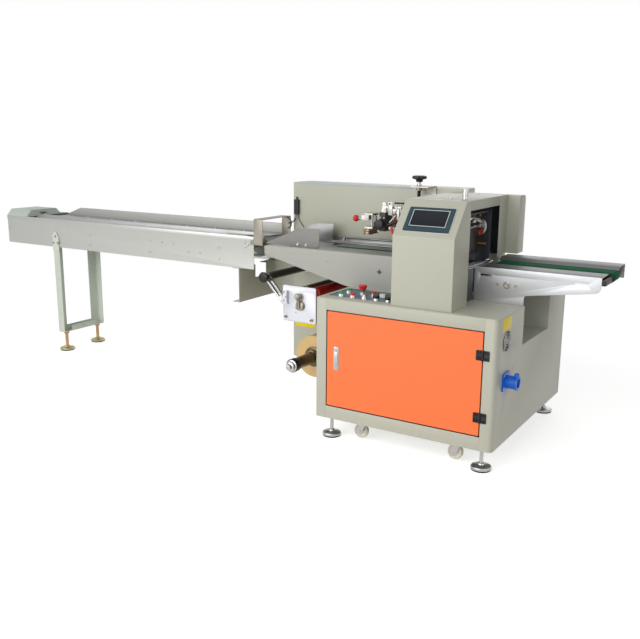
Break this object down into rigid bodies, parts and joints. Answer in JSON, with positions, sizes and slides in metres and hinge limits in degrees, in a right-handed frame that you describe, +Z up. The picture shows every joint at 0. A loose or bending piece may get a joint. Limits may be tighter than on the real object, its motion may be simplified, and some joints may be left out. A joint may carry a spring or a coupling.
{
  "type": "horizontal flow wrapper",
  "caption": "Horizontal flow wrapping machine: long infeed conveyor, film reel and forming table, hooded end sealer, cabinet with door, and outfeed belt.",
  "frame": {"origin": "on the floor, at the middle of the overall length and depth", "axes": "+X along the product flow from infeed to outfeed, +Y to the rear of the machine, +Z up"},
  "size_m": [3.729, 0.9585, 1.161],
  "materials": {
    "cabinet_paint": "satin",
    "door_paint": "satin",
    "stainless": "satin",
    "machined_steel": "polished",
    "anodised_plate": "satin",
    "stand_paint": "satin",
    "belt_green": "satin",
    "black_plastic": "satin",
    "red_plastic": "gloss",
    "blue_plastic": "gloss",
    "caster_nylon": "gloss",
    "film": "gloss",
    "roller_rubber_red": "satin",
    "roller_rubber_dark": "satin",
    "screen": "gloss",
    "panel_plate": "satin"
  },
  "bodies": {
    "machine": {"cabinet_deck": "cabinet_paint", "cabinet_floor": "cabinet_paint", "cabinet_front_posts": "cabinet_paint", "cabinet_front_rails": "cabinet_paint", "cabinet_hinge_leaves": "black_plastic", "cabinet_rear_wall": "cabinet_paint", "cabinet_side_walls": "cabinet_paint", "control_panel": "panel_plate", "conveyor_belts": "belt_green", "cooling_fan": "black_plastic", "film_formers": "stainless", "fin_seal_unit": "machined_steel", "height_bracket": "machined_steel", "infeed_chain": "machined_steel", "infeed_deck": "stainless", "infeed_end_cover": "stand_paint", "infeed_guides": "stainless", "infeed_side_plates": "stainless", "infeed_stand": "stand_paint", "levelling_feet": "machined_steel", "operator_box": "cabinet_paint", "outfeed_frame": "machined_steel", "outfeed_front_plate": "stainless", "outfeed_rear_guard": "stainless", "power_inlet": "blue_plastic", "rear_housing": "cabinet_paint", "roller_bracket": "anodised_plate", "sealer_hood_columns": "cabinet_paint", "sealer_hood_top": "cabinet_paint", "sealer_unit": "machined_steel", "sensor_amplifier": "black_plastic", "sensor_gantry": "stainless", "slide_comb": "stainless", "support_channel": "cabinet_paint", "swing_arm": "machined_steel", "table_deck": "stainless", "table_front_plate": "cabinet_paint", "touch_screen": "screen"},
    "door": {"cabinet_door": "door_paint", "door_hardware": "black_plastic"},
    "film_reel": {"film_shaft": "machined_steel", "film_roll": "film"},
    "draw_roller_body": {"draw_roller": "roller_rubber_red"},
    "nip_roller_body": {"nip_roller": "roller_rubber_dark"},
    "guide_roller_body": {"guide_roller": "roller_rubber_dark"},
    "nip_lever_body": {"nip_lever": "machined_steel"},
    "height_knob_body": {"height_knob": "black_plastic"},
    "ball_lever_body": {"ball_lever": "red_plastic"},
    "fin_seal_knob_body": {"fin_seal_knob": "black_plastic"},
    "arm_knob_body": {"arm_knob": "black_plastic"},
    "emergency_stop_body": {"emergency_stop": "red_plastic"},
    "caster_1": {"caster_fork_1": "machined_steel"},
    "caster_wheel_1_body": {"caster_wheel_1": "caster_nylon"},
    "caster_2": {"caster_fork_2": "machined_steel"},
    "caster_wheel_2_body": {"caster_wheel_2": "caster_nylon"},
    "caster_3": {"caster_fork_3": "machined_steel"},
    "caster_wheel_3_body": {"caster_wheel_3": "caster_nylon"},
    "caster_4": {"caster_fork_4": "machined_steel"},
    "caster_wheel_4_body": {"caster_wheel_4": "caster_nylon"}
  },
  "joints": [
    {"name": "door_hinge", "type": "hinge", "parent": "machine", "child": "door", "pos_m": [1.482, -0.47475, 0.375], "axis": [0, 0, 1], "range_deg": [0, 110]},
    {"name": "reel_spin", "type": "hinge", "parent": "machine", "child": "film_reel", "pos_m": [0.4875, -0.14275, 0.265], "axis": [0, 1, 0], "continuous": true},
    {"name": "draw_roller_spin", "type": "hinge", "parent": "machine", "child": "draw_roller_body", "pos_m": [0.5235, -0.01975, 0.6], "axis": [0, 1, 0], "continuous": true},
    {"name": "nip_roller_spin", "type": "hinge", "parent": "machine", "child": "nip_roller_body", "pos_m": [0.4702, -0.01975, 0.605], "axis": [0, 1, 0], "continuous": true},
    {"name": "guide_roller_spin", "type": "hinge", "parent": "machine", "child": "guide_roller_body", "pos_m": [0.2455, -0.01975, 0.654], "axis": [0, 1, 0], "continuous": true},
    {"name": "nip_lever_turn", "type": "hinge", "parent": "machine", "child": "nip_lever_body", "pos_m": [0.4485, -0.20775, 0.531], "axis": [0, 1, 0], "range_deg": [0, 90]},
    {"name": "height_knob_turn", "type": "hinge", "parent": "machine", "child": "height_knob_body", "pos_m": [0.9185, 0.09625, 1.104], "axis": [0, 0, 1], "continuous": true},
    {"name": "ball_lever_turn", "type": "hinge", "parent": "machine", "child": "ball_lever_body", "pos_m": [0.6825, -0.00975, 0.952], "axis": [0, 1, 0], "range_deg": [-20, 30]},
    {"name": "fin_seal_knob_turn", "type": "hinge", "parent": "machine", "child": "fin_seal_knob_body", "pos_m": [0.7765, -0.02775, 0.932], "axis": [0, 1, 0], "continuous": true},
    {"name": "arm_knob_turn", "type": "hinge", "parent": "machine", "child": "arm_knob_body", "pos_m": [0.2455, -0.20775, 0.654], "axis": [0, 1, 0], "continuous": true},
    {"name": "emergency_stop_press", "type": "slide", "parent": "machine", "child": "emergency_stop_body", "axis": [0, 0, -1], "range_m": [0, 0.006]},
    {"name": "caster_1_swivel", "type": "hinge", "parent": "machine", "child": "caster_1", "pos_m": [0.9235, -0.38975, 0.089], "axis": [0, 0, 1], "continuous": true},
    {"name": "caster_1_roll", "type": "hinge", "parent": "caster_1", "child": "caster_wheel_1_body", "pos_m": [0.9015, -0.38975, 0.041], "axis": [0, 1, 0], "continuous": true},
    {"name": "caster_2_swivel", "type": "hinge", "parent": "machine", "child": "caster_2", "pos_m": [1.3775, -0.38975, 0.089], "axis": [0, 0, 1], "continuous": true},
    {"name": "caster_2_roll", "type": "hinge", "parent": "caster_2", "child": "caster_wheel_2_body", "pos_m": [1.3555, -0.38975, 0.041], "axis": [0, 1, 0], "continuous": true},
    {"name": "caster_3_swivel", "type": "hinge", "parent": "machine", "child": "caster_3", "pos_m": [0.9235, 0.39925, 0.089], "axis": [0, 0, 1], "continuous": true},
    {"name": "caster_3_roll", "type": "hinge", "parent": "caster_3", "child": "caster_wheel_3_body", "pos_m": [0.9015, 0.39925, 0.041], "axis": [0, 1, 0], "continuous": true},
    {"name": "caster_4_swivel", "type": "hinge", "parent": "machine", "child": "caster_4", "pos_m": [1.3775, 0.39925, 0.089], "axis": [0, 0, 1], "continuous": true},
    {"name": "caster_4_roll", "type": "hinge", "parent": "caster_4", "child": "caster_wheel_4_body", "pos_m": [1.3555, 0.39925, 0.041], "axis": [0, 1, 0], "continuous": true}
  ]
}
